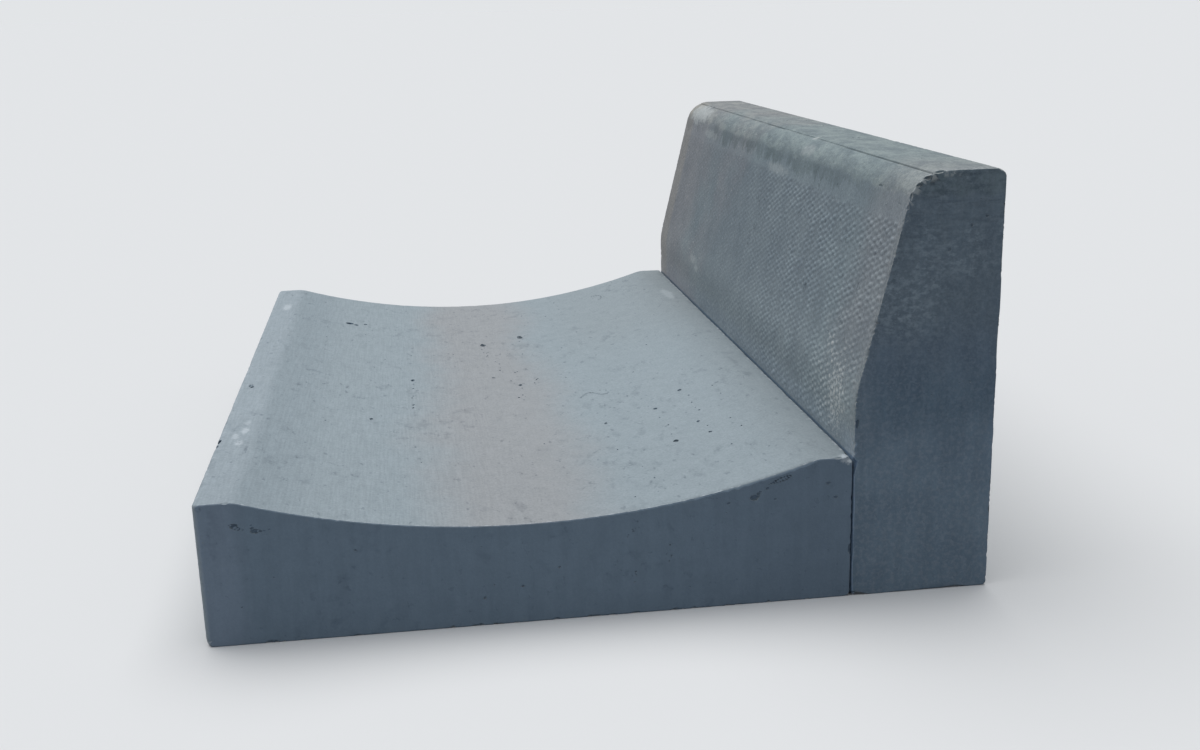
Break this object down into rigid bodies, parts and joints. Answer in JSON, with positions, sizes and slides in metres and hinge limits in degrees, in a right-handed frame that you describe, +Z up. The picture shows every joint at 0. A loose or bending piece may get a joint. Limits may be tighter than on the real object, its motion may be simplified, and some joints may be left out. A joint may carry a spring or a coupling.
{
  "type": "concrete kerb stone with dished channel stone",
  "caption": "Precast concrete kerb stone with a knurled, leaning road face and a rounded nose, laid against a wide, shallow dished channel stone that carries water along a road edge.",
  "frame": {"origin": "middle of the bed that both stones stand on", "axes": "+X from the road to the footway, +Y along the road, +Z up"},
  "size_m": [0.7358, 1, 0.4],
  "materials": {
    "kerb_concrete": "cast, knurled on the road face, matt",
    "channel_concrete": "cast against a smooth mould, matt"
  },
  "bodies": {
    "root": {"kerb_stone": "kerb_concrete", "channel_stone": "channel_concrete"}
  },
  "joints": []
}
